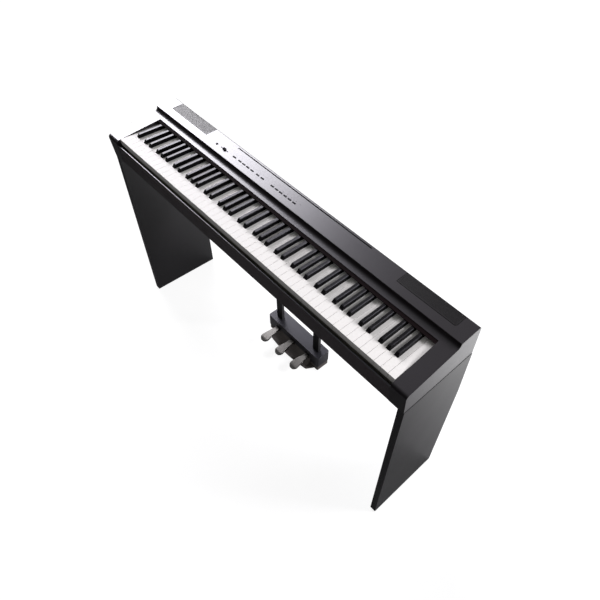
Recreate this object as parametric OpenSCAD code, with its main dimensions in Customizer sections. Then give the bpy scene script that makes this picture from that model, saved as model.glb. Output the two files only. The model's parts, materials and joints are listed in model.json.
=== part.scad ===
// Digital piano on a two-panel wooden stand with a three-pedal unit.
// Lengths are millimetres. X runs along the keyboard from bass to treble, Y runs from the
// player to the back and Z points up. The origin is on the floor, under the middle.
// The instrument is drawn from the top front edge of the white keys, in the middle.

/* [Keyboard] */
// Distance from one white key to the next
white_pitch = 23.5; // [22.5:0.1:24]
// Gap between neighbouring white keys
key_gap = 0.9; // [0.7:0.1:1.2]
// Height of the white key tops above the floor
key_top_z = 756; // [700:1:800]
// Length of the wide front part of a white key
head_l = 49; // [46:1:52]
// Thickness of a key's body
key_t = 12; // [11:0.5:14]
// Depth of a white key's front lip
lip_h = 20; // [16:1:21]
// Wall of the front lip
lip_t = 3; // [2:0.5:5]
// Width of a black key at its foot
black_w = 13; // [12:0.1:13.4]
// Width of a black key's flat top
black_top_w = 9.8; // [9:0.1:11]
// Height of the black keys above the white ones
black_h = 11; // [9:0.5:12]
// Length of the raised part of a black key
black_l = 104; // [98:1:107]
// Gap from a black key to the white keys beside it
black_gap = 0.8; // [0.6:0.1:1]
// How far the front edge of a key goes down
key_dip = 10; // [8:0.5:11]
// Distance from the front of the keys to their pivot
pivot_l = 205; // [200:1:208]
// How far a key runs on behind its pivot
tail_l = 13; // [10:1:14]
// How much narrower each side of a key is at its tail
tail_trim = 1.6; // [1.4:0.1:2]
// Diameter of the rod that the keys turn on
rod_d = 4; // [3:0.5:5]
// Radial clearance of a key on its rod
rod_fit = 0.1; // [0.05:0.01:0.1]

/* [Case] */
// Width of the end block beside the keys
cheek_w = 50; // [42:1:56]
// Gap between the end keys and the end blocks
side_gap = 1; // [0.8:0.1:2]
// Wall of the case mouldings
wall = 3; // [2.5:0.1:3.5]
// How far the end blocks stand ahead of the keys
case_front = 15; // [14:0.5:18]
// How far the foot of the front leans back
front_rake = 6; // [4:0.5:7]
// Height of the end blocks at the front, against the white keys
cheek_front_h = -3; // [-5:0.5:0]
// Distance from the key fronts to the lip over the keys
lip_y = 152; // [150:1:154]
// Thickness of that lip
fascia_t = 1.6; // [1.4:0.1:2]
// Distance from the key fronts to the foot of the hollow band
cove_y = 160; // [158:0.5:162]
// Radius of the hollow band
cove_r = 14; // [12:0.5:15]
// Rounding of the front upper edge of the end blocks
front_r = 11; // [8:0.5:12]
// Rounding of the front edge of the top
edge_r = 2; // [1.5:0.5:3]
// Rounding of the upper back edge
back_r = 6; // [4:0.5:7]
// Distance from the keys' tails to the upper back edge
rear_space = 33.5; // [32:0.5:38]
// Slope of the top
top_slope = 1.5; // [1:0.1:2]
// Lean of the back
back_lean = 3.6; // [3:0.1:4]
// Depth of the case below the key tops
case_h = 84; // [82:1:90]
// Height of the top of the strip along the front
sill_h = -18; // [-19:0.5:-17]
// Gap between the keys' front faces and that strip
sill_gap = 9; // [7:0.5:10]
// Gap between two fixed mouldings
joint_gap = 0.3; // [0.2:0.05:0.5]
// Thickness of the felt strip over the keys
felt_t = 1.5; // [1:0.1:2]
// How far the felt strip reaches out from the lip
felt_out = 12; // [8:1:13]

/* [Top] */
// Length of a speaker grille
grille_l = 198; // [190:1:202]
// Distance from a grille to the end of the case
grille_end = 44; // [40:1:48]
// Distance from a grille to the upper back edge
grille_back = 5; // [4:0.5:7]
// Depth of a grille from front to back
grille_d = 42; // [40:0.5:42]
// Thickness of a grille
grille_t = 2; // [1.5:0.1:2.5]
// Diameter of the holes in a grille
grille_hole = 4; // [3:0.5:5]
// Distance between those holes
grille_step = 8; // [8:0.5:10]
// Length of the slot for the music rest
rest_slot_l = 592; // [560:1:600]
// Width of that slot
rest_slot_w = 4; // [3:0.1:4]
// Depth of that slot
rest_slot_d = 12; // [10:0.5:14]
// Distance from that slot to the upper back edge
rest_slot_back = 11.5; // [10.5:0.5:12.5]
// Distance from the front edge of the top to the row of buttons
button_row = 28; // [26:0.5:30]
// Length of a button
button_l = 13; // [11:0.5:14]
// Width of a button
button_w = 4.6; // [4:0.1:5.4]
// How far a button stands out
button_out = 1; // [0.8:0.1:1.4]
// Gap round a button
button_gap = 0.4; // [0.3:0.05:0.5]
// Travel of a button
button_travel = 0.8; // [0.5:0.1:1]
// Travel of the volume knob
knob_travel = 30; // [24:1:32]
// Diameter of a lamp
lamp_d = 2.6; // [2:0.1:3]

/* [Stand] */
// How far a side panel stands out beyond the case
panel_proud = 1; // [0.5:0.5:4]
// Thickness of a side panel
panel_t = 21; // [18:0.5:24]
// How far a side panel stands ahead of the keys
panel_front = 8; // [7:0.5:10]
// Height of the bend in a side panel's back edge
bend_z = 466; // [440:1:480]
// Height of a floor glide
glide_h = 3; // [2:0.5:4]
// Diameter of a floor glide
glide_d = 17; // [14:0.5:18]
// Thickness of the back board
board_t = 16; // [15:0.5:18]
// Height of the back board
board_h = 200; // [180:1:220]
// Distance from the back face of that board to the upper back edge
board_back = 6.5; // [5:0.5:9]
// Leg of an angle bracket
bracket_leg = 35; // [32:1:40]
// Length of an angle bracket
bracket_l = 60; // [50:1:70]
// Thickness of an angle bracket
bracket_t = 3; // [2:0.5:3]
// Diameter of a wood screw
screw_d = 4; // [3.5:0.1:4.5]

/* [Pedals] */
// Place of the middle pedal, against the middle of the keyboard
pedal_x = -25; // [-40:1:40]
// Distance from one pedal to the next
pedal_step = 88; // [84:1:92]
// How far the pedals reach out of their box
pedal_reach = 86; // [76:1:88]
// Width of a pedal at its tip
pedal_tip_w = 36; // [30:0.5:38]
// Width of a pedal where it comes out of the box
pedal_root_w = 18; // [16:0.5:22]
// Thickness of a pedal
pedal_t = 8; // [7:0.5:9]
// Height of the pedal axle
axle_z = 49; // [47:0.5:51]
// Diameter of the pedal axle
axle_d = 8; // [6:0.5:9]
// Length of the pedal box
box_l = 296; // [288:1:310]
// Height of the pedal box's top
box_h = 80; // [78:1:90]
// Height of the pedal box's lower edge
box_z = 25; // [22:1:27]
// Depth of the pedal box
box_d = 61; // [58:0.5:64]
// How far the pedal box stands out behind the upper back edge
box_back = 31.5; // [28:0.5:34]
// How far the foot reaches out in front of the box
foot_out = 38; // [34:1:42]
// Thickness of the foot at its front edge
foot_t = 6; // [5:0.5:8]
// Height of the apron between the pedals
apron_h = 46; // [40:1:50]
// Width of an upright
post_w = 32; // [28:1:40]
// Depth of an upright
post_d = 14; // [12:0.5:18]
// Height of the uprights' tops
post_top_z = 560; // [540:1:580]
// Distance between the outer faces of the uprights
post_span = 248; // [240:1:260]

/* [Hidden] */
$fn = 48;

// Keyboard and case, seen along X
keys_w = 52 * white_pitch;
open_x = keys_w / 2 + side_gap;
case_x = open_x + cheek_w;
stand_x = case_x + panel_proud;
felt_gap = 0.5;
felt_z = black_h + felt_gap;
cheek_rear_h = felt_z + felt_t + fascia_t;
cheek_s = (cheek_rear_h - cheek_front_h) / (lip_y + case_front);
cheek_a = atan(cheek_s);
lean = tan(back_lean);
slope = tan(top_slope);
cove_z = cheek_z(cove_y) + cove_r / cos(cheek_a);
top_front_y = cove_y + cove_r;
pivot_edge = pivot_l + tail_l;
case_back = pivot_edge + rear_space;
top_back_h = top_z(case_back);
back_u = (lean * back_r / cos(top_slope) - back_r / cos(back_lean)) / (1 + lean * slope);
seam_z = key_top_z - case_h;
panel_back = back_y(bend_z - key_top_z);
box_rear = case_back + box_back;
key_y = (case_front - max(panel_back, box_rear)) / 2;
rod_h = -key_t / 2 - 1;
octave_w = 7 * white_pitch;
plate_x = case_x - wall - joint_gap;
plate_h = -case_h + wall;

// Heights and places on the case's outline
function cheek_z(y) = cheek_front_h + cheek_s * (y + case_front);
function top_z(y) = cove_z + edge_r * (1 - sin(top_slope)) + slope * (y - top_front_y);
function back_y(h) = case_back + (top_back_h - h) * lean;
function front_y(h) = -case_front + front_rake * (-h - front_r) / (case_h - front_r);
function dip_at(y) = key_dip * (pivot_l - y) / pivot_l;
function arc(y, z, r, a0, a1, n) =
  [for (i = [0 : n]) [y + r * cos(a0 + (a1 - a0) * i / n), z + r * sin(a0 + (a1 - a0) * i / n)]];

module at_keys() { translate([0, key_y, key_top_z]) children(); }
module at_floor() { translate([0, key_y, 0]) children(); }
module along_x(x0, x1) { translate([x0, 0, 0]) rotate([90, 0, 90]) linear_extrude(x1 - x0) children(); }
module block(x0, x1, y0, y1, z0, z1) { translate([x0, y0, z0]) cube([x1 - x0, y1 - y0, z1 - z0]); }
module rod_x(x0, x1, y, z, d) { translate([x0, y, z]) rotate([0, 90, 0]) cylinder(d = d, h = x1 - x0); }
// Moves to a point of the sloping top
module on_top(x, y) { translate([x, y, top_z(y)]) rotate([top_slope, 0, 0]) children(); }
module both_ends() { children(); mirror([1, 0, 0]) children(); }

// ---- Outline of the case, from the bottom of the front round to the bottom of the back
module case_outline() {
  polygon(concat(
    [[front_y(-case_h), -case_h]],
    arc(-case_front + front_r, cheek_z(-case_front + front_r) - front_r / cos(cheek_a), front_r,
      180, 90 + cheek_a, 8),
    arc(cove_y, cove_z, cove_r, -90 + cheek_a, 0, 10),
    arc(top_front_y + edge_r, cove_z, edge_r, 180, 90 + top_slope, 4),
    arc(case_back + back_u, top_z(case_back + back_u) - back_r / cos(top_slope), back_r,
      90 + top_slope, back_lean, 6),
    [[back_y(-case_h), -case_h]]));
}
module case_inside() { offset(delta = -wall) case_outline(); }
// The part of a side view between two distances from the key fronts
module side_band(y0, y1, z0, z1) { translate([y0, z0]) square([y1 - y0, z1 - z0]); }

button_x = [-266, -239, -219, -199, -178, -151, -129, -81.5, -62, -42.5, -23, -3, 17];
power_x = -357;
knob_x = -318;
button_y = top_front_y + button_row;
rest_slot_y = case_back - rest_slot_back;
grille_y = case_back - grille_back - grille_d;
board_gap = 8;
board_drop = wall + board_gap;
pcb_t = 1.6;
switch_h = 4;
stem_end = -board_drop + switch_h + button_travel + 0.4;
socket_x = [-150, -110, -20];
socket_d = 10;
socket_h = -52;
main_y = case_back - 15.5;
screw_head_d = 7;
boss_d = 9;
case_screw_d = 3.2;
rear_screw_x = [-600, -300, 0, 300, 600];
rear_screw_y = back_y(plate_h) - wall - boss_d / 2 - 0.5;
cheek_screw_y = [18, 128];
cheek_screw_x = open_x + cheek_w / 2;

module grille_outline(gap) {
  translate([case_x - grille_end - grille_l, grille_y]) offset(delta = gap) difference() {
    square([grille_l, grille_d]);
    translate([grille_l, 0]) difference() {
      square(16, center = true);
      translate([-8, 8]) circle(r = 8);
    }
  }
}
module upper_case() color([0.13, 0.12, 0.13]) at_keys() {
  difference() {
    union() {
      difference() {
        along_x(-case_x, case_x) case_outline();
        both_ends() along_x(open_x + wall, case_x - wall) case_inside();
        along_x(-case_x + wall, case_x - wall) intersection() {
          case_inside();
          side_band(lip_y + 1, back_y(-case_h), -case_h - 1, 100);
        }
        along_x(-open_x, open_x) side_band(-case_front - 1, lip_y, -case_h - 1, 100);
        along_x(-open_x, open_x) side_band(lip_y - 1, cove_y, -case_h - 1, felt_z + felt_t);
        along_x(-plate_x, plate_x) polygon([[front_y(-case_h) + wall + joint_gap, -case_h - 1],
          [back_y(-case_h) - wall, -case_h - 1], [back_y(plate_h) - wall, plate_h],
          [front_y(-case_h) + wall + joint_gap, plate_h]]);
      }
      // trough of the music rest's slot
      on_top(0, rest_slot_y) block(-rest_slot_l / 2 - 2, rest_slot_l / 2 + 2,
        -rest_slot_w / 2 - 2, rest_slot_w / 2 + 2, -rest_slot_d - 2, -wall / 2);
      // bosses for the case screws
      for (x = rear_screw_x) translate([x, rear_screw_y, plate_h]) cylinder(d = boss_d, h = 24);
      both_ends() for (y = cheek_screw_y)
        translate([cheek_screw_x, y, plate_h]) cylinder(d = boss_d, h = cheek_z(y) - plate_h - 1);
      // pillars that carry the panel board
      for (x = [-372, 44]) on_top(x, button_y) translate([0, 0, -board_drop]) cylinder(d = 6, h = board_drop - 1);
    }
    both_ends() on_top(0, grille_y) translate([0, -grille_y, -grille_t])
      linear_extrude(grille_t + 5) grille_outline(joint_gap);
    both_ends() on_top(case_x - grille_end - grille_l / 2, grille_y + grille_d / 2)
      block(-grille_l / 2 + 8, grille_l / 2 - 12, -grille_d / 2 + 4, grille_d / 2 - 6, -wall - 1, 1);
    for (x = button_x) on_top(x, button_y) block(-button_l / 2 - button_gap, button_l / 2 + button_gap,
      -button_w / 2 - button_gap, button_w / 2 + button_gap, -wall - 1, 1);
    on_top(power_x, button_y) translate([0, 0, -wall - 1]) cylinder(d = power_d + 2 * button_gap, h = wall + 2);
    on_top(knob_x, button_y) block(-knob_travel / 2 - 4, knob_travel / 2 + 4, -1.4, 1.4, -wall - 1, 1);
    for (x = lamp_x) on_top(x, lamp_y) translate([0, 0, -wall - 1]) cylinder(d = lamp_d + 0.2, h = wall + 2, $fn = 24);
    on_top(0, rest_slot_y) block(-rest_slot_l / 2, rest_slot_l / 2, -rest_slot_w / 2, rest_slot_w / 2, -rest_slot_d, 1);
    for (x = socket_x) translate([x, back_y(socket_h) - wall - 5, socket_h]) rotate([-90, 0, 0])
      cylinder(d = socket_d + 0.4, h = wall + 10);
    for (x = rear_screw_x) translate([x, rear_screw_y, plate_h - 1]) cylinder(d = case_screw_d + 0.1, h = 15);
    both_ends() for (y = cheek_screw_y) translate([cheek_screw_x, y, plate_h - 1]) cylinder(d = case_screw_d + 0.1, h = 15);
  }
}

module case_screw_holes() {
  for (x = rear_screw_x) translate([x, rear_screw_y, -case_h - 1]) screw_recess();
  both_ends() for (y = cheek_screw_y) translate([cheek_screw_x, y, -case_h - 1]) screw_recess();
}
module screw_recess() {
  cylinder(d = case_screw_d + 0.4, h = wall + 2);
  cylinder(d = screw_head_d + 0.4, h = 1 + wall - 1.2);
}
support_y = [60, 190];
support_x = stand_x - panel_t - bracket_leg * 0.55;
module support_spots() { both_ends() for (y = support_y, d = [-1, 1]) translate([support_x, y + d * bracket_l / 4, 0]) children(); }

module lower_case() color([0.09, 0.08, 0.09]) at_keys() difference() {
  union() {
    along_x(-plate_x, plate_x) polygon([[front_y(-case_h) + wall + 2 * joint_gap, -case_h],
      [back_y(-case_h) - wall - joint_gap, -case_h], [back_y(plate_h) - wall - joint_gap, plate_h],
      [front_y(-case_h) + wall + 2 * joint_gap, plate_h]]);
    along_x(-open_x + joint_gap, open_x - joint_gap) polygon([
      [front_y(-case_h) + front_inset, -case_h], [front_y(wall_top) + front_inset, wall_top],
      [front_y(wall_top) + front_inset + wall, wall_top], [front_y(-case_h) + front_inset + wall, plate_h],
      [front_y(-case_h) + 20, plate_h], [front_y(-case_h) + 20, -case_h]]);
    // stiffening webs behind the front
    for (i = [-5 : 5]) along_x(i * keys_w / 12 - 1.2, i * keys_w / 12 + 1.2) polygon([
      [front_y(plate_h) + front_inset + wall / 2, plate_h - 1],
      [front_y(sill_h - 12) + front_inset + wall / 2, sill_h - 12],
      [front_y(sill_h - 12) + 5, sill_h - 12], [front_y(plate_h) + 14, plate_h - 1]]);
    support_spots() translate([0, 0, plate_h - 1]) cylinder(d = 10, h = 13);
  }
  case_screw_holes();
  support_spots() translate([0, 0, -case_h - 1]) cylinder(d = screw_d + 0.1, h = 14);
}

// Strip on the front wall, its front upper edge rounded; the keys' front faces hang behind it
front_inset = 0.6;
slip_t = 3;
slip_r = 2.4;
wall_top = sill_h - slip_t;
module keyslip() color([0.3, 0.28, 0.26]) at_keys() along_x(-open_x + joint_gap, open_x - joint_gap)
  polygon(concat([[-sill_gap, wall_top], [front_y(wall_top) + front_inset, wall_top]],
    arc(front_y(sill_h) + front_inset + slip_r, sill_h - slip_r, slip_r, 180, 90, 6),
    arc(-sill_gap - 1, sill_h - 1, 1, 90, 0, 3)));

module key_felt() color([0.35, 0.05, 0.09]) at_keys() along_x(-open_x + joint_gap, open_x - joint_gap)
  side_band(lip_y - felt_out, lip_y + 5, felt_z, felt_z + felt_t);

// ---- Keys. The number of a key counts from 0 at the lowest
function pitch_of(i) = (i + 9) % 12;
function octave_of(i) = floor((i + 9) / 12);
function is_black(p) = p == 1 || p == 3 || p == 6 || p == 8 || p == 10;
function white_index(p) = p < 5 ? p / 2 : (p + 1) / 2;
// Middle of a key's tail within its octave: five share the first three white keys, seven the rest
function tail_mid(p) = p < 5 ? (p + 0.5) * 3 * white_pitch / 5 : 3 * white_pitch + (p - 4.5) * 4 * white_pitch / 7;
function tail_w(p) = (p < 5 ? 3 * white_pitch / 5 : 4 * white_pitch / 7) - key_gap;
function octave_x(o) = -keys_w / 2 + (o * 7 - 5) * white_pitch;
notch = black_w / 2 + black_gap;

module key_side_white() {
  polygon([[0, 0], [0, -lip_h], [lip_t, -lip_h], [lip_t + 2, -key_t], [pivot_edge, -key_t], [pivot_edge, -1.5],
    [pivot_l - 12, -1.5], [pivot_l - 16, 0]]);
}
module key_plan_white(i) {
  p = pitch_of(i);
  w = white_index(p);
  x0 = w * white_pitch + key_gap / 2;
  x1 = (w + 1) * white_pitch - key_gap / 2;
  left = i > 0 && is_black(p - 1) ? tail_mid(p - 1) + notch : x0;
  right = i < 87 && is_black(p + 1) ? tail_mid(p + 1) - notch : x1;
  neck0 = tail_mid(p) - tail_w(p) / 2 + tail_trim;
  neck1 = tail_mid(p) + tail_w(p) / 2 - tail_trim;
  polygon([[x0, 0], [x1, 0], [x1, head_l - black_gap], [right, head_l - black_gap], [right, pivot_l - 22],
    [neck1, pivot_l - 18], [neck1, pivot_edge], [neck0, pivot_edge], [neck0, pivot_l - 18], [left, pivot_l - 22],
    [left, head_l - black_gap], [x0, head_l - black_gap]]);
}
module white_key(i) {
  intersection() {
    along_x(0, octave_w) key_side_white();
    translate([0, 0, -lip_h]) linear_extrude(lip_h) key_plan_white(i);
  }
}
module black_key(p) {
  m = tail_mid(p);
  intersection() {
    along_x(m - black_w / 2, m + black_w / 2) polygon([[head_l, -key_t], [head_l, -1], [head_l + 2, 3],
      [head_l + 6, black_h - 1], [head_l + 9, black_h], [head_l + black_l, black_h], [head_l + black_l, -1.5],
      [pivot_edge, -1.5], [pivot_edge, -key_t]]);
    union() {
      translate([m, pivot_l - 20, 0]) rotate([90, 0, 0]) linear_extrude(pivot_l - 20 - head_l)
        polygon([[-black_w / 2, -key_t], [black_w / 2, -key_t], [black_w / 2, 0], [black_top_w / 2, black_h - 1],
          [black_top_w / 2 - 1, black_h], [1 - black_top_w / 2, black_h], [-black_top_w / 2, black_h - 1], [-black_w / 2, 0]]);
      block(m - tail_w(p) / 2 + tail_trim, m + tail_w(p) / 2 - tail_trim, pivot_l - 21, pivot_edge, -key_t, -1.5);
    }
  }
}
module one_key(i) {
  p = pitch_of(i);
  translate([octave_x(octave_of(i)), 0, 0]) difference() {
    if (is_black(p)) black_key(p);
    else white_key(i);
    rod_x(tail_mid(p) - white_pitch, tail_mid(p) + white_pitch, pivot_l, rod_h, rod_d + 2 * rod_fit);
  }
}
module middle_key(p) color(is_black(p) ? [0.04, 0.04, 0.04] : [0.96, 0.95, 0.93]) at_keys() one_key(39 + p);
// All keys of one name, apart from the one in the middle octave
module key_family(p) color(is_black(p) ? [0.04, 0.04, 0.04] : [0.96, 0.95, 0.93]) at_keys()
  for (i = [0 : 87]) if (pitch_of(i) == p && octave_of(i) != 4) one_key(i);

// ---- Key frame: a folded tray with a stop rail, a contact rail and a rear rail with fins
frame_x = keys_w / 2 - 1;
fin_t = 2.4;
stop_y = 20;
contact_y = 84;
strip_h = 4;
stop_h = -key_t - dip_at(stop_y) - 1;
strip_top = -key_t - dip_at(contact_y) - 0.8;
shelf_h = strip_top - strip_h - pcb_t;
rear_h = -key_t - 8;
module hat_rail(y0, y1, h) {
  side_band(y0, y0 + wall, plate_h, h);
  side_band(y1 - wall, y1, plate_h, h);
  side_band(y0, y1, h - wall, h);
}
module key_frame() color([0.75, 0.74, 0.7]) at_keys() difference() {
  union() {
    along_x(-frame_x, frame_x) {
      side_band(stop_y - 6, pivot_edge, plate_h, plate_h + wall);
      hat_rail(stop_y - 6, stop_y + 12, stop_h);
      hat_rail(contact_y - 4, contact_y + 30, shelf_h);
      hat_rail(pivot_l - 16, pivot_edge, rear_h);
    }
    // fins that hold the rod, one at each end and one between octaves
    for (x = fin_x) along_x(x - fin_t / 2, x + fin_t / 2) union() {
      side_band(pivot_l - 7, pivot_l + 7, rear_h - 1, rod_h);
      translate([pivot_l, rod_h]) circle(r = 5);
    }
  }
  rod_x(-frame_x - 1, frame_x + 1, pivot_l, rod_h, rod_d + 0.1);
}
fin_x = concat([-frame_x + fin_t / 2 + 0.1], [for (o = [1 : 8]) octave_x(o)], [frame_x - fin_t / 2 - 0.1]);
module fulcrum_rod() color([0.7, 0.7, 0.72]) at_keys() rod_x(-frame_x, frame_x, pivot_l, rod_h, rod_d);
module contact_board() color([0.1, 0.35, 0.2]) at_keys()
  block(-frame_x + 4, frame_x - 4, contact_y - 2, contact_y + 28, shelf_h, shelf_h + pcb_t);
module contact_strip() color([0.2, 0.2, 0.22]) at_keys() {
  block(-frame_x + 6, frame_x - 6, contact_y, contact_y + 16, shelf_h + pcb_t, shelf_h + pcb_t + 1.2);
  along_x(-frame_x + 6, frame_x - 6) polygon([[contact_y + 3, shelf_h + pcb_t + 1], [contact_y + 5, strip_top],
    [contact_y + 9, strip_top], [contact_y + 11, shelf_h + pcb_t + 1]]);
}

// ---- Boards, sockets and speakers
module main_board() color([0.1, 0.35, 0.2]) at_keys() {
  block(-190, 190, main_y, main_y + pcb_t, plate_h, plate_h + 58);
  for (x = [-120, -60, 30, 110]) block(x, x + 26, main_y - 3, main_y + 0.5, plate_h + 12, plate_h + 38);
}
module sockets() color([0.1, 0.1, 0.1]) at_keys() for (x = socket_x) difference() {
  union() {
    block(x - 8, x + 8, main_y + pcb_t, back_y(socket_h) - wall - 2, socket_h - 8, socket_h + 8);
    translate([x, main_y + pcb_t, socket_h]) rotate([-90, 0, 0]) cylinder(d = socket_d, h = back_y(socket_h) - main_y - pcb_t);
  }
  translate([x, main_y + pcb_t + 4, socket_h]) rotate([-90, 0, 0]) cylinder(d = 6.4, h = 60);
}
module panel_board() color([0.1, 0.35, 0.2]) at_keys() on_top(0, button_y) {
  block(-378, 50, -12, 12, -board_drop - pcb_t, -board_drop);
  for (x = concat(button_x, [power_x])) block(x - 3, x + 3, -3, 3, -board_drop - 0.5, -board_drop + switch_h);
  block(knob_x - knob_travel / 2 - 8, knob_x + knob_travel / 2 + 8, -4, 4, -board_drop - 0.5, -board_drop + switch_h);
}
lamp_x = [-266, -151, -81.5, -62, -42.5, -23, -3, 17, 36];
lamp_y = button_y + 9;
module panel_lamps() color([0.8, 0.75, 0.7]) at_keys() for (x = lamp_x)
  on_top(x, button_y) translate([0, (lamp_y - button_y) / cos(top_slope), -board_drop])
    cylinder(d = lamp_d, h = board_drop + 0.2, $fn = 24);

module grille() {
  on_top(0, grille_y) translate([0, -grille_y, -grille_t]) difference() {
    linear_extrude(grille_t) grille_outline(0);
    for (i = [0 : floor((grille_l - 34) / grille_step)], j = [0 : floor((grille_d - 16) / grille_step)])
      translate([case_x - grille_end - grille_l + 16 + i * grille_step, grille_y + 8 + j * grille_step, -1])
        cylinder(d = grille_hole, h = grille_t + 2, $fn = 16);
  }
}
module grille_right() color([0.16, 0.15, 0.16]) at_keys() grille();
module grille_left() color([0.16, 0.15, 0.16]) at_keys() mirror([1, 0, 0]) grille();

module speaker() {
  on_top(case_x - grille_end - grille_l / 2 - 2, grille_y + grille_d / 2 - 1) {
    difference() {
      translate([0, 0, -wall - 3]) linear_extrude(3) speaker_oval(17);
      translate([0, 0, -wall - 2]) linear_extrude(3) speaker_oval(13.5);
    }
    translate([0, 0, -wall - 9]) linear_extrude(7) speaker_oval(12);
    translate([0, 0, -wall - 17]) cylinder(d = 26, h = 9);
    translate([0, 0, -wall - 2.5]) intersection() {
      sphere(d = 18);
      cylinder(d = 18, h = 2.2);
    }
  }
}
module speaker_oval(r) { hull() for (s = [-1, 1]) translate([s * 40, 0]) circle(r = r, $fn = 32); }
module speakers() color([0.2, 0.2, 0.2]) at_keys() both_ends() speaker();

module case_screw() { translate([0, 0, -case_h + wall - 1.2 - 1.6]) { cylinder(d = screw_head_d, h = 1.6); cylinder(d = case_screw_d, h = 14); } }
module case_screws() color([0.5, 0.5, 0.5]) at_keys() {
  for (x = rear_screw_x) translate([x, rear_screw_y, 0]) case_screw();
  both_ends() for (y = cheek_screw_y) translate([cheek_screw_x, y, 0]) case_screw();
}

// ---- Controls
power_d = 9;
module push_button(l, w) {
  block(-l / 2, l / 2, -w / 2, w / 2, -wall - 1, button_out);
  block(-l / 2 - 1.2, l / 2 + 1.2, -w / 2 - 1.2, w / 2 + 1.2, -wall - 1.5, -wall - 0.3);
  block(-1.5, 1.5, -1.5, 1.5, stem_end, -wall - 0.5);
}
module button_row(first, last) { for (i = [first : last]) on_top(button_x[i], button_y) push_button(button_l, button_w); }
module power_button() color([0.15, 0.15, 0.16]) at_keys() on_top(power_x, button_y) {
  translate([0, 0, -wall - 1]) cylinder(d = power_d, h = wall + 1 + button_out);
  translate([0, 0, -wall - 1.5]) cylinder(d = power_d + 3, h = 1.2);
  translate([0, 0, stem_end]) cylinder(d = 3, h = -wall - 0.5 - stem_end);
}
module play_buttons() color([0.15, 0.15, 0.16]) at_keys() button_row(0, 2);
module tempo_buttons() color([0.15, 0.15, 0.16]) at_keys() button_row(3, 6);
module voice_buttons() color([0.15, 0.15, 0.16]) at_keys() button_row(7, 12);
module volume_knob() color([0.12, 0.12, 0.12]) at_keys() on_top(knob_x, button_y) {
  difference() {
    block(-5, 5, -4, 4, 0.4, 4.4);
    finger_groove();
  }
  block(-3, 3, -0.9, 0.9, -board_drop + switch_h + 0.4, 1);
}
module finger_groove() { translate([0, -5, 4.9]) rotate([-90, 0, 0]) cylinder(r = 2, h = 10, $fn = 24); }

// ---- Stand
module panel_outline() {
  offset(r = 2, $fn = 24) offset(delta = -2) polygon([[-panel_front, glide_h], [-panel_front, seam_z],
    [back_y(-case_h), seam_z], [panel_back, bend_z], [panel_back, glide_h]]);
}
inner_x = stand_x - panel_t;
module side_panel() {
  difference() {
    along_x(inner_x, stand_x) panel_outline();
    panel_screw_spots() rod_x(inner_x - 1, inner_x + 15, 0, 0, screw_d + 0.1);
  }
}
module side_panel_right() color([0.2, 0.2, 0.2]) at_floor() side_panel();
module side_panel_left() color([0.2, 0.2, 0.2]) at_floor() mirror([1, 0, 0]) side_panel();
board_y = case_back - board_back;
board_bracket_z = seam_z - board_h / 2;
board_bracket_l = 110;
// Screws that go sideways into a side panel
module panel_screw_spots() {
  for (y = support_y, d = [-1, 1]) translate([0, y + d * bracket_l / 4, seam_z - bracket_leg * 0.55]) children();
  for (d = [-1, 1]) translate([0, board_y - board_t - bracket_leg * 0.55, board_bracket_z + d * board_bracket_l / 4]) children();
}
module board_screw_spots() {
  both_ends() for (d = [-1, 1]) translate([inner_x - bracket_leg * 0.55, 0, board_bracket_z + d * board_bracket_l / 4]) children();
}
post_mid = post_span / 2 - post_w / 2;
module post_screw_spots() {
  for (s = [-1, 1], d = [25, 65]) translate([pedal_x + s * post_mid, 0, post_top_z - d]) children();
}
module into_board(h, d) { rotate([-90, 0, 0]) cylinder(d = d, h = h); }
module rear_board() color([0.12, 0.12, 0.12]) at_floor() difference() {
  block(-inner_x, inner_x, board_y - board_t, board_y, seam_z - board_h, seam_z);
  board_screw_spots() translate([0, board_y - board_t - 1, 0]) into_board(13, screw_d + 0.1);
  post_screw_spots() translate([0, board_y - 11, 0]) into_board(12, screw_d + 0.1);
}
module angle_bracket(l) {
  linear_extrude(l, center = true) difference() {
    square(bracket_leg);
    translate([bracket_t, bracket_t]) square(bracket_leg);
  }
}
module brackets() color([0.35, 0.35, 0.36]) at_floor() both_ends() difference() {
  union() {
    for (y = support_y) translate([inner_x, y, seam_z]) rotate([90, 0, 0]) rotate(180) angle_bracket(bracket_l);
    translate([inner_x, board_y - board_t, board_bracket_z]) rotate(180) angle_bracket(board_bracket_l);
  }
  panel_screw_spots() rod_x(inner_x - bracket_t - 1, inner_x + 1, 0, 0, screw_d + 0.4);
  for (y = support_y, d = [-1, 1]) translate([support_x, y + d * bracket_l / 4, seam_z - bracket_t - 1])
    cylinder(d = screw_d + 0.4, h = bracket_t + 2);
  for (d = [-1, 1]) translate([inner_x - bracket_leg * 0.55, board_y - board_t - bracket_t - 1, board_bracket_z + d * board_bracket_l / 4])
    into_board(bracket_t + 2, screw_d + 0.4);
}
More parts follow.
